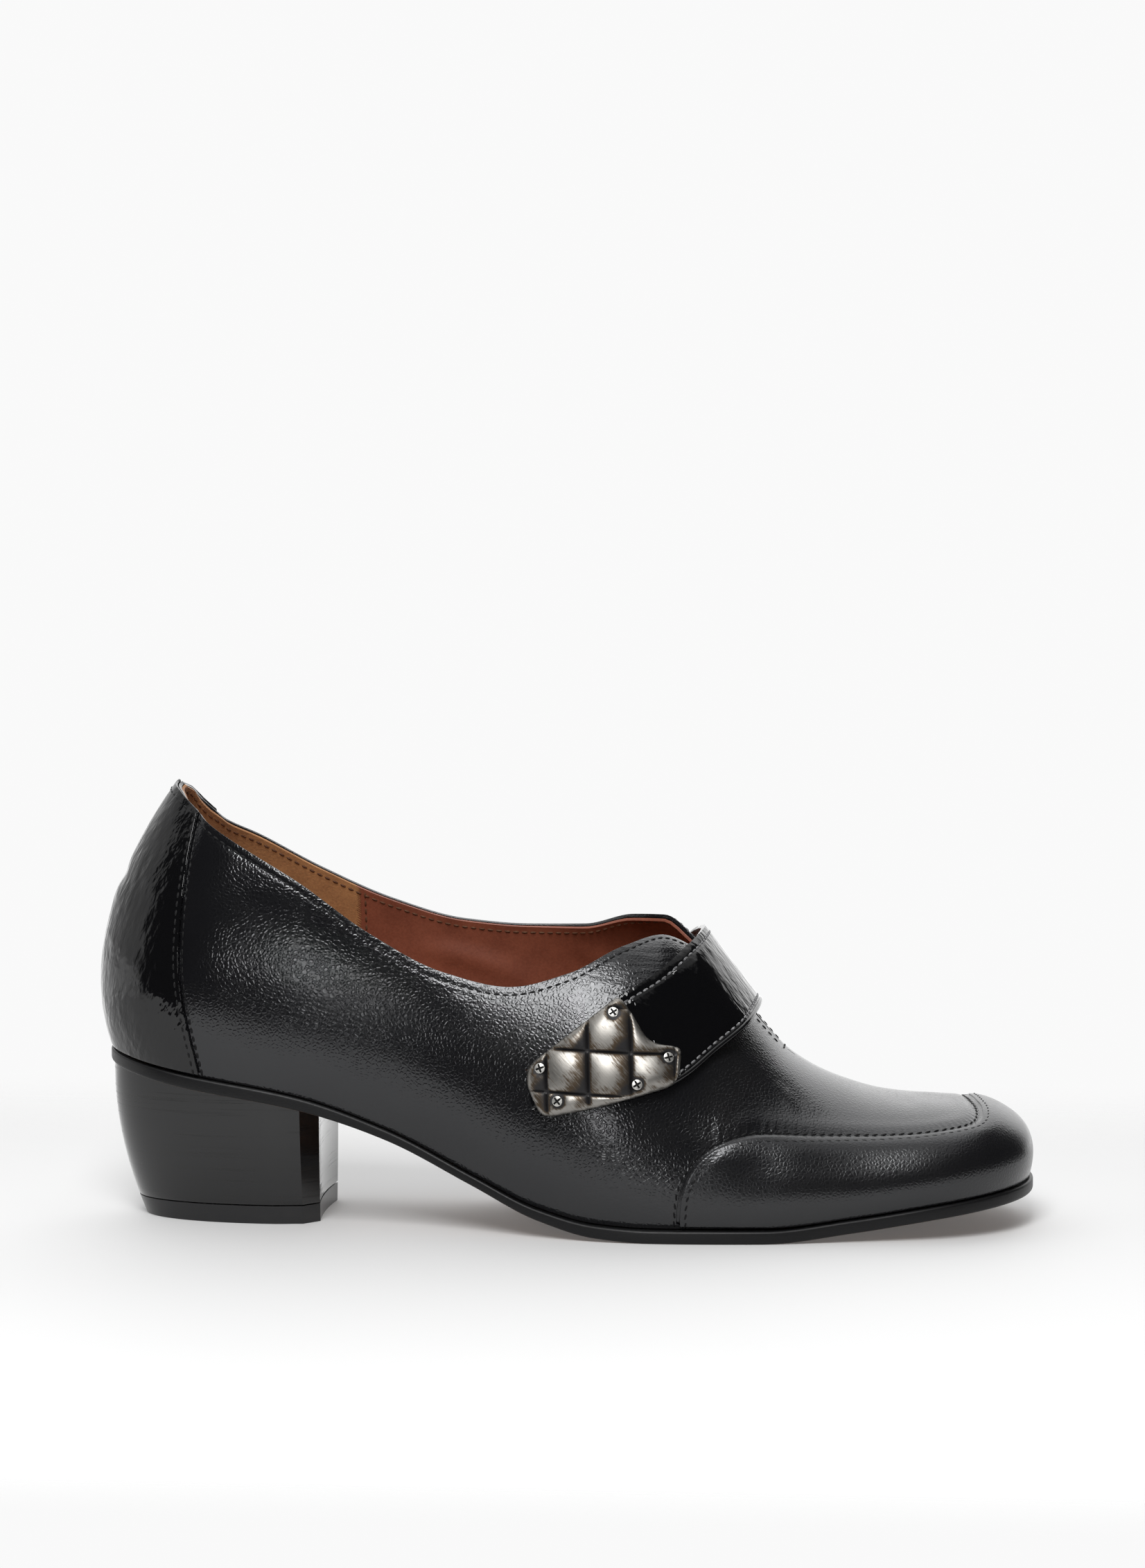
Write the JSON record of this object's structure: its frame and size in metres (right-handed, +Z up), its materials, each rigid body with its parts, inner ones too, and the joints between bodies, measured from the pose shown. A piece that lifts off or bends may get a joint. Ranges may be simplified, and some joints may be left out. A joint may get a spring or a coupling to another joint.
{
  "type": "block-heel slip-on shoe",
  "caption": "Black leather slip-on shoe with a block heel, V-shaped throat slit, patent instep strap ending under a quilted metal plate, moc toe seam and patent back piece.",
  "frame": {"origin": "middle of the bounding box at floor level", "axes": "+X from heel to toe, +Y to the inner side of the foot, +Z up"},
  "size_m": [0.256, 0.0919, 0.1193],
  "materials": {
    "black_calf": "smooth satin calf leather",
    "black_patent": "high-gloss patent leather",
    "antique_silver": "antiqued silver-coloured metal",
    "screw_metal": "bright screw metal",
    "lining_leather": "matt lining leather",
    "sole_leather": "inked sole edge",
    "stacked_heel": "inked stacked leather",
    "lift_rubber": "matt rubber"
  },
  "bodies": {
    "root": {"upper": "black_calf", "toe_wall": "black_calf", "back_piece": "black_patent", "instep_strap": "black_patent", "ornament_plate": "antique_silver", "ornament_screw_1": "screw_metal", "ornament_screw_2": "screw_metal", "ornament_screw_3": "screw_metal", "ornament_screw_4": "screw_metal", "ornament_screw_5": "screw_metal", "insole": "lining_leather", "outsole": "sole_leather", "heel_block": "stacked_heel", "heel_top_piece": "lift_rubber"}
  },
  "joints": []
}
